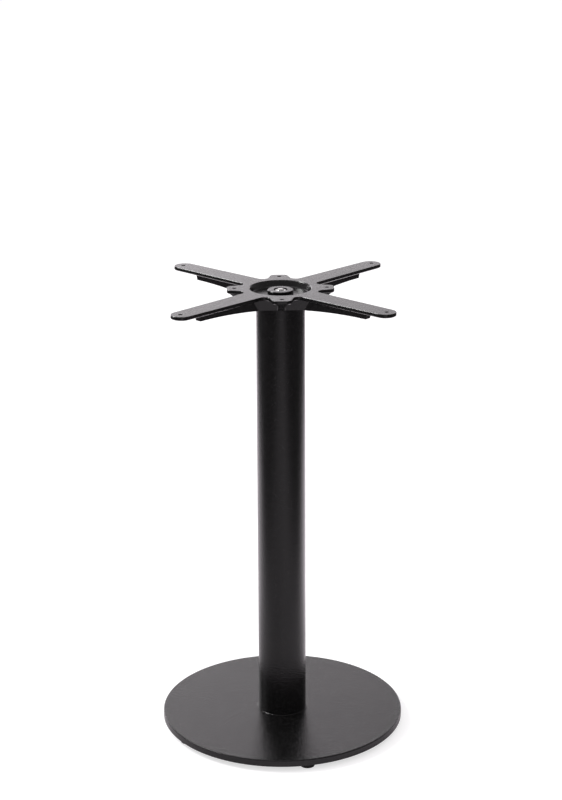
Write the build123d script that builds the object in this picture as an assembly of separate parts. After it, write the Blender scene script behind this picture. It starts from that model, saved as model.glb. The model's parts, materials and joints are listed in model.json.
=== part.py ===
"""Pedestal table base: round cast base plate on levelling feet, tube column and cast top spider.

Millimetres, +Z up. The origin is on the floor, under the axis of the column. The four arms of
the spider lie on the diagonals between X and Y, and its four ears lie on the axes.
"""

import os
from math import cos, radians, sin, sqrt, tan

from build123d import *

# Overall
overall_height = 720.0
foot_stand_off = 8.0

# Base plate
plate_diameter = 386.0
plate_thickness = 11.0
plate_top_edge_round = 1.6
plate_bottom_edge_chamfer = 0.8
seat_past_tube = 2.8
seat_height = 1.2
seat_edge_chamfer = 0.5
plate_spigot_height = 10.0
spigot_lead_in = 1.2
under_pocket_depth = 3.5
under_rim_width = 12.0
under_rib_width = 12.0
under_boss_past_tube = 8.0
foot_boss_past_pad = 5.0
pocket_corner_round = 5.0
nut_pocket_clearance = 3.0
rod_end_above_rim = 1.6

# Column tube
tube_diameter = 76.0
tube_wall = 2.0
tube_end_chamfer = 0.4
spigot_clearance = 0.3

# Tie rod, nuts and washers
rod_diameter = 10.0
rod_end_chamfer = 1.0
rod_hole_clearance = 0.5
rod_top_below_face = 1.7
rod_past_nut = 2.0
thread_clearance = 0.05
nut_across_flats = 16.0
nut_height = 8.4
nut_corner_chamfer = 0.9
washer_diameter = 20.0
washer_thickness = 2.0
washer_bore_clearance = 0.5

# Top spider: arms, ears and their holes
arm_hole_spacing = 300.0
arm_tip_radius = 16.5
arm_end_past_hole = 14.0
arm_axis_half_width = 19.8
ear_hole_circle = 141.4
ear_end_past_hole = 11.3
ear_end_half_width = 12.5
ear_sides_inside_recess = 13.5
ear_corner_round = 8.0
notch_round = 9.0
fixing_hole_diameter = 6.6
flange_thickness = 5.8
flange_top_chamfer = 0.6
flange_bottom_chamfer = 1.1

# Top spider: hub, recess and boss
hub_depth = 25.0
hub_past_tube = 3.0
hub_flare = 12.0
recess_diameter = 94.0
recess_depth = 9.5
recess_wall_slope = 3.4
recess_edge_chamfer = 1.2
recess_floor_chamfer = 1.1
centre_boss_diameter = 39.8
centre_boss_below_face = 2.5
centre_boss_edge_chamfer = 0.9
counterbore_clearance = 0.7
hub_spigot_length = 10.0
hub_spigot_wall = 6.7
hub_core_depth = 13.0

# Top spider: ribs under the arms and gussets under the ears
rib_end_before_hole = 36.0
rib_end_depth = 16.8
rib_mid_depth = 19.0
rib_end_slope = 2.0
rib_top_width = 11.0
rib_bottom_width = 9.0
rib_cove = 3.5
gusset_width = 10.0
gusset_cove = 6.5
gusset_end_before_ear = 3.0
gusset_knee_before_ear = 8.0
gusset_knee_depth = 10.5
gusset_foot_past_hub = 3.0
gusset_hub_round = 2.0
least_corner_slope = 40.0

# Levelling feet
foot_count = 5
foot_axis_from_plate_edge = 18.0
foot_first_angle = 281.0
foot_pad_diameter = 22.0
foot_pad_height = 6.5
foot_pad_top_diameter = 18.0
foot_pad_cone_height = 3.2
foot_stem_diameter = 8.0
foot_stem_in_pad = 4.0
foot_stem_top_gap = 2.0
foot_hole_depth = 9.5

# Levels that follow from the sizes above
rim_bottom = foot_stand_off
plate_top = rim_bottom + plate_thickness
seat_level = plate_top + seat_height
plate_spigot_top = seat_level + plate_spigot_height
face_level = overall_height
hub_bottom = face_level - hub_depth
hub_spigot_bottom = hub_bottom - hub_spigot_length
rod_top = face_level - rod_top_below_face
top_nut_level = rod_top - rod_past_nut - nut_height
top_washer_level = top_nut_level - washer_thickness
rod_bottom = rim_bottom + rod_end_above_rim
bottom_nut_level = rod_bottom + rod_past_nut
bottom_washer_level = bottom_nut_level + nut_height
nut_pocket_ceiling = bottom_washer_level + washer_thickness

# Diameters and distances from the axis that follow
seat_diameter = tube_diameter + 2 * seat_past_tube
tube_bore = tube_diameter - 2 * tube_wall
spigot_diameter = tube_bore - 2 * spigot_clearance
under_boss_diameter = tube_diameter + 2 * under_boss_past_tube
foot_boss_diameter = foot_pad_diameter + 2 * foot_boss_past_pad
foot_circle_radius = plate_diameter / 2 - foot_axis_from_plate_edge
nut_pocket_diameter = washer_diameter + 2 * nut_pocket_clearance
rod_hole_diameter = rod_diameter + 2 * rod_hole_clearance
washer_bore = rod_diameter + 2 * washer_bore_clearance
nut_bore = rod_diameter + 2 * thread_clearance
stem_bore = foot_stem_diameter + 2 * thread_clearance
counterbore_diameter = washer_diameter + 2 * counterbore_clearance
hub_bottom_width = tube_diameter + 2 * hub_past_tube
hub_core_diameter = spigot_diameter - 2 * hub_spigot_wall
arm_hole_distance = arm_hole_spacing / sqrt(2)
arm_tip_centre = arm_hole_distance + arm_end_past_hole - arm_tip_radius
rib_end_distance = arm_hole_distance - rib_end_before_hole
rib_start_distance = hub_bottom_width / sqrt(2)
rib_mid_distance = (rib_start_distance + rib_end_distance) / 2
ear_end_distance = ear_hole_circle / 2 + ear_end_past_hole
ear_axis_half_width = recess_diameter / 2 - ear_sides_inside_recess
gusset_end_distance = ear_end_distance - gusset_end_before_ear
gusset_knee_distance = ear_end_distance - gusset_knee_before_ear
gusset_foot_distance = hub_bottom_width / 2 + gusset_foot_past_hub

# Directions of the arms, the ears and the feet
arm_angles = [45 + 90 * i for i in range(4)]
ear_angles = [90 * i for i in range(4)]
foot_angles = [foot_first_angle + 360 / foot_count * i for i in range(foot_count)]


def cylinder(diameter, bottom, top, x=0.0, y=0.0):
    """Upright cylinder between two levels."""
    return Pos(x, y, bottom) * extrude(Circle(diameter / 2), top - bottom)


def around(shape, angles):
    """Copies of a shape turned about the column's axis."""
    return [Rot(0, 0, angle) * shape for angle in angles]


def in_plan(edge):
    """Distance of an edge's middle from the column's axis."""
    return Vector(edge.center().X, edge.center().Y).length


def upright_and_low(edge):
    """True for a steep edge in the lower part of the hub."""
    low = edge.center().Z < (hub_bottom + face_level) / 2 - flange_thickness / 2
    return low and abs((edge % 0.5).Z) > sin(radians(least_corner_slope))


def save(shape, node):
    """One named piece as one STEP file."""
    shape.label = node
    export_step(shape, f"parts/{node}.step")


# Base plate
def underside_pockets():
    """Shallow casting pockets between the rim, the ribs, the middle boss and the foot bosses."""
    outer = Circle(plate_diameter / 2 - under_rim_width)
    field = outer - Circle(under_boss_diameter / 2)
    rib = Pos(foot_circle_radius / 2, 0) * Rectangle(foot_circle_radius, under_rib_width)
    boss = Pos(foot_circle_radius, 0) * Circle(foot_boss_diameter / 2)
    for angle in foot_angles:
        field -= Rot(0, 0, angle) * (rib + boss)
    field = fillet(field.vertices(), pocket_corner_round)
    return Pos(0, 0, rim_bottom) * extrude(field, under_pocket_depth)


def base_plate():
    plate = cylinder(plate_diameter, rim_bottom, plate_top)
    plate = fillet(plate.edges().group_by(Axis.Z)[-1], plate_top_edge_round)
    plate = chamfer(plate.edges().group_by(Axis.Z)[0], plate_bottom_edge_chamfer)
    seat = cylinder(seat_diameter, plate_top - seat_height, seat_level)
    plate += chamfer(seat.edges().group_by(Axis.Z)[-1], seat_edge_chamfer)
    spigot = cylinder(spigot_diameter, plate_top, plate_spigot_top)
    plate += chamfer(spigot.edges().group_by(Axis.Z)[-1], spigot_lead_in)
    plate -= underside_pockets()
    plate -= cylinder(nut_pocket_diameter, rim_bottom, nut_pocket_ceiling)
    plate -= cylinder(rod_hole_diameter, rim_bottom, plate_spigot_top)
    for angle in foot_angles:
        x = foot_circle_radius * cos(radians(angle))
        y = foot_circle_radius * sin(radians(angle))
        plate -= cylinder(stem_bore, rim_bottom, rim_bottom + foot_hole_depth, x, y)
    return plate


def column():
    tube = cylinder(tube_diameter, seat_level, hub_bottom)
    tube = chamfer(tube.edges().filter_by(GeomType.CIRCLE), tube_end_chamfer)
    return tube - cylinder(tube_bore, seat_level, hub_bottom)


# Top spider
def ear_outline():
    """One ear along +X, seen from above: sides that close outwards and round corners.

    The sides run on to the column's axis, where they lie inside the recess's rim.
    """
    ear = make_face(
        Polyline(
            (0, -ear_axis_half_width),
            (ear_end_distance, -ear_end_half_width),
            (ear_end_distance, ear_end_half_width),
            (0, ear_axis_half_width),
            close=True,
        )
    )
    corners = ear.vertices().group_by(Axis.X)[-1]
    return fillet(corners, ear_corner_round)


def arm_outline():
    """One arm along +X, seen from above: it narrows to a round tip."""
    taper = make_face(
        Polyline(
            (0, -arm_axis_half_width),
            (arm_tip_centre, -arm_tip_radius),
            (arm_tip_centre, arm_tip_radius),
            (0, arm_axis_half_width),
            close=True,
        )
    )
    return taper + Pos(arm_tip_centre, 0) * Circle(arm_tip_radius)


def flange():
    """The flat top of the casting: arms, ears and the rounded notches between them."""
    outline = Circle(recess_diameter / 2)
    for piece in around(arm_outline(), arm_angles) + around(ear_outline(), ear_angles):
        outline += piece
    plate = Pos(0, 0, face_level - flange_thickness) * extrude(outline, flange_thickness)
    notches = plate.edges().filter_by(Axis.Z).filter_by(lambda edge: in_plan(edge) < ear_hole_circle / 2)
    plate = fillet(notches, notch_round)
    plate = chamfer(plate.edges().group_by(Axis.Z)[-1], flange_top_chamfer)
    return chamfer(plate.edges().group_by(Axis.Z)[0], flange_bottom_chamfer)


def hub():
    """Square body under the flange that flares up from the tube; the arm ribs cover its corners."""
    low = hub_bottom_width / 2
    high = low + hub_flare
    shoulder = -flange_thickness / 2
    corners = [(-low, -hub_depth), (low, -hub_depth), (high, shoulder), (-high, shoulder)]
    slab = side_profile([Polyline(*corners, close=True)])
    return slab & Rot(0, 0, 90) * slab


def coved_bar(top_width, bottom_width, cove, depth, length):
    """Bar along +X under the flange, with a cove where each side meets the flange's underside."""
    under = -flange_thickness
    shift = (top_width - bottom_width) / 2 * cove / (depth - flange_thickness)
    neck = top_width / 2 - shift
    right = [
        Line((bottom_width / 2, -depth), (neck, under - cove)),
        RadiusArc((neck, under - cove), (top_width / 2 + cove, under), cove),
        Line((top_width / 2 + cove, under), (top_width / 2 + cove, under / 2)),
    ]
    left = [mirror(edge, Plane.YZ) for edge in right]
    top = Line((-top_width / 2 - cove, under / 2), (top_width / 2 + cove, under / 2))
    bottom = Line((-bottom_width / 2, -depth), (bottom_width / 2, -depth))
    section = make_face(Curve() + right + left + [top, bottom])
    lay = Plane((0, 0, face_level), x_dir=(0, 1, 0), z_dir=(1, 0, 0))
    return extrude(lay * section, length)


def side_profile(edges):
    """Wide plate cut to a profile drawn in X and depth below the top face."""
    lay = Plane((0, 0, face_level), x_dir=(1, 0, 0), z_dir=(0, -1, 0))
    return extrude(lay * make_face(Curve() + edges), recess_diameter, both=True)


def arm_rib():
    """Rib under one arm: deep at the hub, shallow at its outer end, with a curved lower edge."""
    top_end = rib_end_distance + rib_end_slope
    bar = coved_bar(rib_top_width, rib_bottom_width, rib_cove, hub_depth, top_end)
    low = ThreePointArc(
        (rib_end_distance, -rib_end_depth),
        (rib_mid_distance, -rib_mid_depth),
        (rib_start_distance, -hub_depth),
    )
    straight = Polyline(
        (rib_start_distance, -hub_depth),
        (0, -hub_depth),
        (0, 0),
        (top_end, 0),
        (top_end, -flange_thickness),
        (rib_end_distance, -rib_end_depth),
    )
    return bar & side_profile([low, straight])


def ear_gusset():
    """Gusset under one ear: steep at the ear's end, then sloping down to the foot of the hub."""
    bar = coved_bar(gusset_width, gusset_width, gusset_cove, hub_depth, gusset_end_distance)
    profile = Polyline(
        (0, 0),
        (gusset_end_distance, 0),
        (gusset_end_distance, -flange_thickness),
        (gusset_knee_distance, -gusset_knee_depth),
        (gusset_foot_distance, -hub_depth),
        (0, -hub_depth),
        close=True,
    )
    inside_ear = offset(ear_outline(), -flange_bottom_chamfer)
    ear_column = Pos(0, 0, hub_bottom) * extrude(inside_ear, hub_depth)
    return bar & side_profile([profile]) & ear_column


def recess():
    """Round recess in the top face: bevelled rim, sloping wall and a boss left in its middle."""
    rim = recess_diameter / 2
    foot = rim - recess_wall_slope
    boss = centre_boss_diameter / 2
    floor_start = (foot, -recess_depth)
    boss_edge = (boss, -centre_boss_below_face)
    half_profile = make_face(
        Polyline(
            (0, 0),
            (rim + recess_edge_chamfer, 0),
            (rim, -recess_edge_chamfer),
            floor_start,
            (boss, -recess_depth),
            boss_edge,
            (0, -centre_boss_below_face),
            close=True,
        )
    )
    half_profile = chamfer(vertex_at(half_profile, floor_start), recess_floor_chamfer)
    half_profile = chamfer(vertex_at(half_profile, boss_edge), centre_boss_edge_chamfer)
    lay = Plane((0, 0, face_level), x_dir=(1, 0, 0), z_dir=(0, -1, 0))
    return revolve(lay * half_profile, Axis.Z)


def vertex_at(face, point):
    """The corner of a flat outline that lies nearest to a point."""
    return face.vertices().sort_by_distance(point)[0]


def ribbed_hub():
    """The hub with its arm ribs and its ear gussets, and with the gussets' corners rounded."""
    body = hub()
    for rib in around(arm_rib(), arm_angles):
        body += rib
    old_places = [edge.center() for edge in body.edges()]
    for gusset in around(ear_gusset(), ear_angles):
        body += gusset
    corners = []
    for edge in body.edges().filter_by(upright_and_low):
        if all((edge.center() - place).length > spigot_clearance for place in old_places):
            corners.append(edge)
    return fillet(corners, gusset_hub_round)


def top_spider():
    casting = ribbed_hub() + flange()
    casting += cylinder(spigot_diameter, hub_spigot_bottom, hub_bottom)
    casting -= recess()
    casting -= cylinder(counterbore_diameter, top_washer_level, face_level)
    casting -= cylinder(rod_hole_diameter, hub_spigot_bottom, face_level)
    casting -= cylinder(hub_core_diameter, hub_spigot_bottom, hub_spigot_bottom + hub_core_depth)
    hole = cylinder(fixing_hole_diameter, hub_bottom, face_level)
    holes = around(Pos(arm_hole_distance, 0) * hole, arm_angles)
    holes += around(Pos(ear_hole_circle / 2, 0) * hole, ear_angles)
    for placed in holes:
        casting -= placed
    return casting


# Tie rod, nuts and washers
def tie_rod():
    rod = cylinder(rod_diameter, rod_bottom, rod_top)
    return chamfer(rod.edges().filter_by(GeomType.CIRCLE), rod_end_chamfer)


def hex_nut(bottom):
    """Hexagon nut with its corners chamfered on both faces and one corner towards -Y."""
    outline = RegularPolygon(nut_across_flats / 2, 6, major_radius=False, rotation=30)
    prism = extrude(outline, nut_height)
    across_corners = nut_across_flats / cos(radians(30))
    turned = cylinder(across_corners, 0, nut_height)
    chamfer_width = 2 * nut_corner_chamfer * tan(radians(30))
    turned = chamfer(turned.edges().filter_by(GeomType.CIRCLE), chamfer_width, nut_corner_chamfer)
    return Pos(0, 0, bottom) * ((prism & turned) - cylinder(nut_bore, 0, nut_height))


def washer(bottom):
    top = bottom + washer_thickness
    return cylinder(washer_diameter, bottom, top) - cylinder(washer_bore, bottom, top)


# Levelling feet
def foot_pad(angle):
    """Moulded pad: a low cone on a round base, moulded round the foot of its stem."""
    wide = foot_pad_diameter / 2
    half_profile = make_face(
        Polyline(
            (0, 0),
            (wide, 0),
            (wide, foot_pad_height - foot_pad_cone_height),
            (foot_pad_top_diameter / 2, foot_pad_height),
            (0, foot_pad_height),
            close=True,
        )
    )
    pad = revolve(Plane.XZ * half_profile, Axis.Z)
    pad -= cylinder(stem_bore, foot_pad_height - foot_stem_in_pad, foot_pad_height)
    return Rot(0, 0, angle) * Pos(foot_circle_radius, 0) * pad


def foot_stem(angle):
    bottom = foot_pad_height - foot_stem_in_pad
    top = rim_bottom + foot_hole_depth - foot_stem_top_gap
    stem = cylinder(foot_stem_diameter, bottom, top)
    return Rot(0, 0, angle) * Pos(foot_circle_radius, 0) * stem


def main():
    os.makedirs("parts", exist_ok=True)
    save(base_plate(), "base_plate")
    save(column(), "column_tube")
    save(top_spider(), "top_spider")
    save(tie_rod(), "tie_rod")
    save(hex_nut(top_nut_level), "top_nut")
    save(washer(top_washer_level), "top_washer")
    save(hex_nut(bottom_nut_level), "bottom_nut")
    save(washer(bottom_washer_level), "bottom_washer")
    for number, angle in enumerate(foot_angles, start=1):
        save(foot_pad(angle), f"foot_{number}_pad")
        save(foot_stem(angle), f"foot_{number}_stem")


main()
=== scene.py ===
"""Looks for the pedestal table base: black textured powder coat, zinc fasteners and plastic feet.

Metres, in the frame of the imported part: +Z up, origin on the floor under the column's axis.
"""

import json
import math

import bpy
from mathutils import Matrix, Vector

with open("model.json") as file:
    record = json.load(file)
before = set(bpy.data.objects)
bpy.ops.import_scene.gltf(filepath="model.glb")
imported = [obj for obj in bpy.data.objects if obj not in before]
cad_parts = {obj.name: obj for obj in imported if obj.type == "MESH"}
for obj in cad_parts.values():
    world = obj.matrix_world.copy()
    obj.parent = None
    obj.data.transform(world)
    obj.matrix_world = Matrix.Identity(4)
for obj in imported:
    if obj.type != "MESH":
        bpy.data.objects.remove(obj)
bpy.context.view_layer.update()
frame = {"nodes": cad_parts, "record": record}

MM = 0.001

# Camera, fitted to the photograph
PHOTO_HEIGHT = 800
FOCAL_PIXELS = 2007.4
SENSOR_MM = 36.0
CAMERA_DISTANCE = 2.9684
CAMERA_HEIGHT = 1.4839
CAMERA_AZIMUTH = 0.0297
CAMERA_PITCH = 0.3078
CAMERA_ROLL = -0.0047

# Stage, as it lights the object and as the camera sees it
FLOOR_RADIUS = 60.0
FLOOR_CORNERS = 96
FLOOR_GREY = 0.72
SHADOW_SHARE = 0.5
BACKDROP_WHITE = 0.64
WORLD_STRENGTH = 0.75

# What polished surfaces see of the floor: a pale paper sweep on a darker studio floor. Each edge is
# the distance from the middle where the paper starts to fade, and the one where it has gone.
SWEEP_FRONT_GREY = 0.44
SWEEP_FRONT_EDGE = (0.4, 1.1)
SWEEP_BACK_GREY = 1.25
SWEEP_BACK_EDGE = (0.7, 1.9)
STUDIO_FLOOR_GREY = 0.09

# The front's tone turns into the back's over this depth, later at the sides
SWEEP_TURN_SPAN = (-0.6, 0.2)
SWEEP_TURN_LEAN = -0.4

# The sweep is paler far behind the object and at its right, with painted shade near the base plate
SWEEP_FAR_SPAN = (1.2, 2.4)
SWEEP_FAR_GAIN = 1.6
SWEEP_SIDE_SPAN = (-0.3, 0.3)
SWEEP_LEFT_GAIN = 0.92
SWEEP_RIGHT_GAIN = 1.2
# Painted shade: the plate's shadow on the floor, as reflections show it
PLATE_SHADE_SPAN = (0.3, 0.6)
PLATE_SHADE_SHARE = 0.7

# What polished surfaces see above the floor: darker at the front, palest at the left back and low
# over the floor. The spans are components of the direction looked in.
SKY_FRONT_GREY = 0.27
SKY_BACK_LEFT_GREY = 1.58
SKY_BACK_RIGHT_GREY = 0.88
SKY_SIDE_SPAN = (-0.18, 0.18)
SKY_BACK_SPAN = (0.6, 0.92)
HORIZON_GAIN = 2.8
HORIZON_SPAN = (0.02, 0.19)

# Softboxes, each with its width and height: overhead, high beside the object and low behind it
OVERHEAD_PLACE = (-0.4, 0.2, 3.2)
OVERHEAD_SIZE = (2.6, 2.6)
OVERHEAD_RADIANCE = 0.5
HIGH_KEY_PLACE = (-3.64, 0.94, 3.99)
HIGH_KEY_SIZE = (2.0, 1.4)
HIGH_KEY_RADIANCE = 20.0
BACK_KEY_PLACE = (-2.9, 3.7, 1.75)
BACK_KEY_SIZE = (2.2, 0.8)
BACK_KEY_RADIANCE = 4.0
LAMP_TARGET = (0.0, 0.0, 0.4)

# The coat's blacks lean a little to magenta in the studio's light
STUDIO_TINT = (1.0, 0.955, 0.99, 1.0)

# Powder coat: a black ground with pale specks painted in as glints, each coat with the size and
# height of its peel and of its grain, and the size and grey of its painted glint specks
COAT_GREY = 0.0018
COAT_IOR = 1.5
COAT_ROUGHNESS = (0.18, 0.24)
COAT_CLOUD_SIZE = 60 * MM
GLINT_SPECK_SPAN = (0.50, 0.72)
PLATE_PEEL = (2.6 * MM, 0.36 * MM)
PLATE_GRAIN = (1.4 * MM, 0.22 * MM)
PLATE_GLINT_SPECKS = (2.6 * MM, 0.013)
CASTING_PEEL = (2.6 * MM, 0.15 * MM)
CASTING_GRAIN = (1.4 * MM, 0.08 * MM)
CASTING_GLINT_SPECKS = (1.7 * MM, 0.016)
TUBE_PEEL = (2.2 * MM, 0.28 * MM)
TUBE_GRAIN = (1.4 * MM, 0.10 * MM)
TUBE_GLINT_SPECKS = (1.7 * MM, 0.015)

# Zinc and its threads
ZINC_DARK = (0.576, 0.576, 0.56, 1.0)
ZINC_BRIGHT = (0.72, 0.72, 0.70, 1.0)
ZINC_TINT_SPAN = (0.35, 0.65)
ZINC_ROUGHNESS = (0.20, 0.34)
ZINC_MOTTLE_SIZE = 2.5 * MM
ZINC_MARK_SIZE = 0.4 * MM
ZINC_MARK_HEIGHT = 0.01 * MM
ROD_PITCH = 1.5 * MM
STEM_PITCH = 1.25 * MM
THREAD_DEPTH = 0.5 * MM

# Moulded plastic
PLASTIC_GREYS = (0.0104, 0.0156)
PLASTIC_ROUGHNESS = (0.42, 0.55)
PLASTIC_GRAIN_SIZE = 0.5 * MM
PLASTIC_GRAIN_HEIGHT = 0.03 * MM

# Part of a noise's range over which a surface goes from one look to the other
MOTTLE_SPAN = (0.3, 0.7)


def grey(value):
    return (value, value, value, 1.0)


class NodeNet:
    """Adds nodes to a material or world. Most methods return the output of the node they add."""

    def __init__(self, tree):
        self.nodes = tree.nodes
        self.links = tree.links

    def feed(self, socket, value):
        """Links a node's output to the socket, or sets the socket to a plain value."""
        if isinstance(value, bpy.types.NodeSocket):
            self.links.new(value, socket)
        else:
            socket.default_value = value

    def object_place(self):
        return self.nodes.new("ShaderNodeTexCoord").outputs["Object"]

    def rays(self):
        return self.nodes.new("ShaderNodeLightPath").outputs

    def split(self, vector):
        node = self.nodes.new("ShaderNodeSeparateXYZ")
        self.feed(node.inputs[0], vector)
        return node.outputs

    def noise(self, place, size, detail=2.0, rough=0.5):
        """Noise whose features are about `size` metres across."""
        node = self.nodes.new("ShaderNodeTexNoise")
        node.inputs["Scale"].default_value = 1.0 / size
        node.inputs["Detail"].default_value = detail
        node.inputs["Roughness"].default_value = rough
        self.feed(node.inputs["Vector"], place)
        return node.outputs["Fac"]

    def color_ramp(self, factor, span, low_color, high_color):
        """Goes from one colour to the other as the factor goes over the span."""
        node = self.nodes.new("ShaderNodeValToRGB")
        stops = zip(node.color_ramp.elements, span, (low_color, high_color))
        for element, position, color in stops:
            element.position = position
            element.color = color
        self.feed(node.inputs["Fac"], factor)
        return node.outputs["Color"]

    def grey_ramp(self, factor, span, greys):
        low, high = greys
        return self.color_ramp(factor, span, grey(low), grey(high))

    def bump(self, height, distance, normal=None):
        """Raises the surface by `distance` metres where the height is 1."""
        node = self.nodes.new("ShaderNodeBump")
        node.inputs["Distance"].default_value = distance
        self.feed(node.inputs["Height"], height)
        if normal is not None:
            self.feed(node.inputs["Normal"], normal)
        return node.outputs["Normal"]

    def calculate(self, operation, *values):
        """One maths node; each value is a number or another node's output."""
        node = self.nodes.new("ShaderNodeMath")
        node.operation = operation
        for socket, value in zip(node.inputs, values):
            self.feed(socket, value)
        return node.outputs[0]

    def product(self, first, *others):
        result = first
        for factor in others:
            result = self.calculate("MULTIPLY", result, factor)
        return result

    def smooth_rise(self, value, span, low, high):
        """Goes smoothly from `low` to `high` as the value goes over the span."""
        node = self.nodes.new("ShaderNodeMapRange")
        node.interpolation_type = "SMOOTHSTEP"
        names = ("Value", "From Min", "From Max", "To Min", "To Max")
        for name, number in zip(names, (value, *span, low, high)):
            self.feed(node.inputs[name], number)
        return node.outputs["Result"]

    def mixed(self, factor, low, high, data_type="FLOAT"):
        """Goes from `low` to `high`, plain values or outputs, as the factor goes from 0 to 1."""
        node = self.nodes.new("ShaderNodeMix")
        node.data_type = data_type
        # The node has sockets for every data type, and those of the chosen one are enabled
        used = [socket for socket in node.inputs if socket.enabled]
        for socket, value in zip(used, (factor, low, high)):
            self.feed(socket, value)
        return next(socket for socket in node.outputs if socket.enabled)

    def mixed_shader(self, factor, first, second):
        node = self.nodes.new("ShaderNodeMixShader")
        for socket, value in zip(node.inputs, (factor, first, second)):
            self.feed(socket, value)
        return node.outputs["Shader"]

    def diffuse(self, color):
        node = self.nodes.new("ShaderNodeBsdfDiffuse")
        self.feed(node.inputs["Color"], color)
        return node.outputs["BSDF"]

    def set_surface(self, shader):
        """Makes the shader the material's surface."""
        output = self.nodes.new("ShaderNodeOutputMaterial")
        self.feed(output.inputs["Surface"], shader)

    def set_principled(self, values):
        """Makes the material's surface a principled shader with these values on its sockets."""
        shader = self.nodes.new("ShaderNodeBsdfPrincipled")
        for name, value in values.items():
            self.feed(shader.inputs[name], value)
        self.set_surface(shader.outputs["BSDF"])


def new_material(name):
    """An empty material, and the net for its nodes."""
    material = bpy.data.materials.new(name)
    material.use_nodes = True
    material.node_tree.nodes.clear()
    return material, NodeNet(material.node_tree)


def powder_coat(name, peel, grain, glint_specks):
    """Black powder coat: a soft orange peel with finer sandy grain, and pale painted glint specks.
    """
    material, net = new_material(name)
    peel_size, peel_height = peel
    grain_size, grain_height = grain
    glint_size, glint_grey = glint_specks
    place = net.object_place()
    # Pale specks in the base colour are painted glints
    glint_dots = net.noise(place, glint_size, detail=1.0)
    cloud = net.noise(place, COAT_CLOUD_SIZE, detail=3.0)
    waves = net.noise(place, peel_size, detail=1.0)
    sand = net.noise(place, grain_size, detail=2.0, rough=0.6)
    soft = net.bump(waves, peel_height)
    net.set_principled({
        "Base Color": net.grey_ramp(glint_dots, GLINT_SPECK_SPAN, (COAT_GREY, glint_grey)),
        "Roughness": net.grey_ramp(cloud, MOTTLE_SPAN, COAT_ROUGHNESS),
        "IOR": COAT_IOR,
        "Normal": net.bump(sand, grain_height, normal=soft),
    })
    return material


def zinc(name, pitch=None):
    """Bright zinc-plated steel, a little mottled; with a pitch it is threaded along Z."""
    material, net = new_material(name)
    place = net.object_place()
    mottle = net.noise(place, ZINC_MOTTLE_SIZE, detail=4.0)
    marks = net.noise(place, ZINC_MARK_SIZE, detail=2.0)
    normal = net.bump(marks, ZINC_MARK_HEIGHT)
    if pitch is not None:
        turns = net.calculate("DIVIDE", net.split(place)["Z"], pitch)
        flank = net.calculate("PINGPONG", turns, 0.5)
        normal = net.bump(flank, 2 * THREAD_DEPTH, normal=normal)
    net.set_principled({
        "Base Color": net.color_ramp(mottle, ZINC_TINT_SPAN, ZINC_DARK, ZINC_BRIGHT),
        "Metallic": 1.0,
        "Roughness": net.grey_ramp(mottle, MOTTLE_SPAN, ZINC_ROUGHNESS),
        "Normal": normal,
    })
    return material


def moulded_plastic(name):
    """Black moulded plastic with a fine spark-eroded grain."""
    material, net = new_material(name)
    grain = net.noise(net.object_place(), PLASTIC_GRAIN_SIZE, detail=3.0)
    net.set_principled({
        "Base Color": net.grey_ramp(grain, MOTTLE_SPAN, PLASTIC_GREYS),
        "Roughness": net.grey_ramp(grain, MOTTLE_SPAN, PLASTIC_ROUGHNESS),
        "Normal": net.bump(grain, PLASTIC_GRAIN_HEIGHT),
    })
    return material


def dress(node, material):
    """Gives a CAD piece its material."""
    mesh = frame["nodes"][node].data
    mesh.materials.clear()
    mesh.materials.append(material)


def dress_all():
    """Dresses each piece by its material slot; the spider and the screws get their own looks."""
    casting = powder_coat("casting_powder_coat", CASTING_PEEL, CASTING_GRAIN, CASTING_GLINT_SPECKS)
    plate = powder_coat("plate_powder_coat", PLATE_PEEL, PLATE_GRAIN, PLATE_GLINT_SPECKS)
    tube = powder_coat("tube_powder_coat", TUBE_PEEL, TUBE_GRAIN, TUBE_GLINT_SPECKS)
    by_slot = {
        "cast_black": plate,
        "tube_black": tube,
        "zinc": zinc("zinc_plate"),
        "foot_plastic": moulded_plastic("foot_plastic"),
    }
    rod_thread = zinc("rod_thread", ROD_PITCH)
    stem_thread = zinc("stem_thread", STEM_PITCH)
    for part in frame["record"]["subparts"]:
        node = part["node"]
        material = by_slot[part["material_slot"]]
        if node == "top_spider":
            material = casting
        elif node == "tie_rod":
            material = rod_thread
        elif node.endswith("_stem"):
            material = stem_thread
        dress(node, material)


def polished_share(net):
    """1 for what a glossy or a clear surface sees, 0 for the rest."""
    rays = net.rays()
    return net.calculate("MAXIMUM", rays["Is Glossy Ray"], rays["Is Transmission Ray"])


def floor_reflection(net):
    """Tone of the floor as reflections show it: a pale sweep from behind the object to its front."""
    place = net.split(net.object_place())
    x = place["X"]
    y = place["Y"]
    aside = net.calculate("ABSOLUTE", x)
    front = net.smooth_rise(aside, SWEEP_FRONT_EDGE, SWEEP_FRONT_GREY, STUDIO_FLOOR_GREY)
    back = net.smooth_rise(aside, SWEEP_BACK_EDGE, SWEEP_BACK_GREY, STUDIO_FLOOR_GREY)
    depth = net.calculate("MULTIPLY_ADD", aside, SWEEP_TURN_LEAN, y)
    turn = net.smooth_rise(depth, SWEEP_TURN_SPAN, 0.0, 1.0)
    far = net.smooth_rise(y, SWEEP_FAR_SPAN, 1.0, SWEEP_FAR_GAIN)
    side = net.smooth_rise(x, SWEEP_SIDE_SPAN, SWEEP_LEFT_GAIN, SWEEP_RIGHT_GAIN)
    squares = net.calculate("ADD", net.product(x, x), net.product(y, y))
    reach = net.calculate("SQRT", squares)
    # Painted shade: darker close to the base plate, standing in for its shadow
    plate_shade = net.smooth_rise(reach, PLATE_SHADE_SPAN, PLATE_SHADE_SHARE, 1.0)
    tinted = net.nodes.new("ShaderNodeVectorMath")
    tinted.operation = "SCALE"
    net.feed(tinted.inputs[0], STUDIO_TINT[:3])
    net.feed(tinted.inputs["Scale"], net.product(net.mixed(turn, front, back), far, side, plate_shade))
    return tinted.outputs["Vector"]


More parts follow.
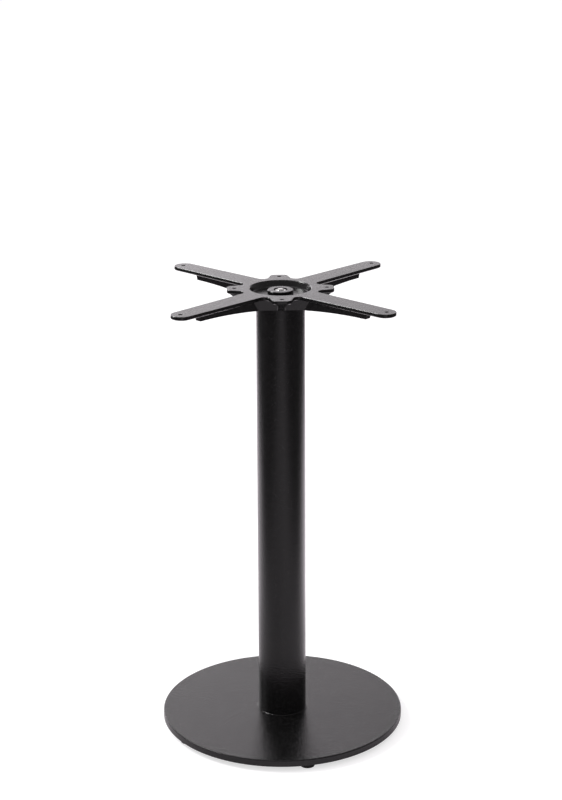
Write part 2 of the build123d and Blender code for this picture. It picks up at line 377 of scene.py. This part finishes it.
def seen_floor(net):
    """White floor with a soft share of the object's shadow."""
    glow = net.nodes.new("ShaderNodeEmission")
    net.feed(glow.inputs["Strength"], BACKDROP_WHITE)
    both = net.nodes.new("ShaderNodeAddShader")
    net.feed(both.inputs[0], net.diffuse(grey(SHADOW_SHARE)))
    net.feed(both.inputs[1], glow.outputs["Emission"])
    return both.outputs["Shader"]


def make_floor():
    """A plain pale floor that carries the object's shadow and can be looked through from below."""
    bpy.ops.mesh.primitive_circle_add(
        vertices=FLOOR_CORNERS, radius=FLOOR_RADIUS, fill_type="NGON"
    )
    floor = bpy.context.object
    floor.name = "floor"
    material, net = new_material("floor")
    reflected = floor_reflection(net)
    paint = net.mixed(polished_share(net), grey(FLOOR_GREY), reflected, data_type="RGBA")
    top = net.mixed_shader(net.rays()["Is Camera Ray"], net.diffuse(paint), seen_floor(net))
    clear = net.nodes.new("ShaderNodeBsdfTransparent").outputs["BSDF"]
    from_below = net.nodes.new("ShaderNodeNewGeometry").outputs["Backfacing"]
    net.set_surface(net.mixed_shader(from_below, top, clear))
    floor.data.materials.append(material)


def sky_reflection(net):
    """Grey of the studio above the floor as reflections show it."""
    direction = net.split(net.nodes.new("ShaderNodeTexCoord").outputs["Generated"])
    pale = net.smooth_rise(direction["X"], SKY_SIDE_SPAN, SKY_BACK_LEFT_GREY, SKY_BACK_RIGHT_GREY)
    gain = net.smooth_rise(direction["Z"], HORIZON_SPAN, HORIZON_GAIN, 1.0)
    turn = net.smooth_rise(direction["Y"], SKY_BACK_SPAN, 0.0, 1.0)
    return net.mixed(turn, SKY_FRONT_GREY, net.product(pale, gain))


def make_world():
    """White for the camera, plain grey light, and a studio that is paler behind the object."""
    world = bpy.data.worlds.new("studio")
    bpy.context.scene.world = world
    world.use_nodes = True
    net = NodeNet(world.node_tree)
    background = net.nodes["Background"].inputs
    from_camera = net.rays()["Is Camera Ray"]
    lit = net.mixed(polished_share(net), WORLD_STRENGTH, sky_reflection(net))
    net.feed(background["Strength"], net.mixed(from_camera, lit, 1.0))
    color = net.mixed(from_camera, STUDIO_TINT, grey(1.0), data_type="RGBA")
    net.feed(background["Color"], color)


def softbox(name, place, size, radiance):
    """Rectangular lamp that faces the object; reflections show it at `radiance`."""
    width, height = size
    light = bpy.data.lights.new(name, "AREA")
    light.shape = "RECTANGLE"
    light.size = width
    light.size_y = height
    light.energy = radiance * math.pi * width * height
    lamp = bpy.data.objects.new(name, light)
    bpy.context.collection.objects.link(lamp)
    lamp.location = place
    direction = Vector(LAMP_TARGET) - Vector(place)
    lamp.rotation_euler = direction.to_track_quat("-Z", "Y").to_euler()
    lamp.visible_camera = False


def make_lights():
    softbox("overhead", OVERHEAD_PLACE, OVERHEAD_SIZE, OVERHEAD_RADIANCE)
    softbox("high_key", HIGH_KEY_PLACE, HIGH_KEY_SIZE, HIGH_KEY_RADIANCE)
    softbox("back_key", BACK_KEY_PLACE, BACK_KEY_SIZE, BACK_KEY_RADIANCE)


def make_camera():
    """The photograph's view."""
    data = bpy.data.cameras.new("camera")
    data.sensor_width = SENSOR_MM
    data.lens = FOCAL_PIXELS * SENSOR_MM / PHOTO_HEIGHT
    camera = bpy.data.objects.new("camera", data)
    bpy.context.collection.objects.link(camera)
    x = -CAMERA_DISTANCE * math.sin(CAMERA_AZIMUTH)
    y = -CAMERA_DISTANCE * math.cos(CAMERA_AZIMUTH)
    camera.location = (x, y, CAMERA_HEIGHT)
    rolled = Matrix.Rotation(CAMERA_ROLL, 4, "Z")
    pitched = Matrix.Rotation(math.pi / 2 - CAMERA_PITCH, 4, "X")
    turned = Matrix.Rotation(-CAMERA_AZIMUTH, 4, "Z")
    camera.rotation_euler = (turned @ pitched @ rolled).to_euler()
    bpy.context.scene.camera = camera


dress_all()
make_floor()
make_world()
make_lights()
make_camera()
bpy.context.scene.view_settings.view_transform = "Standard"
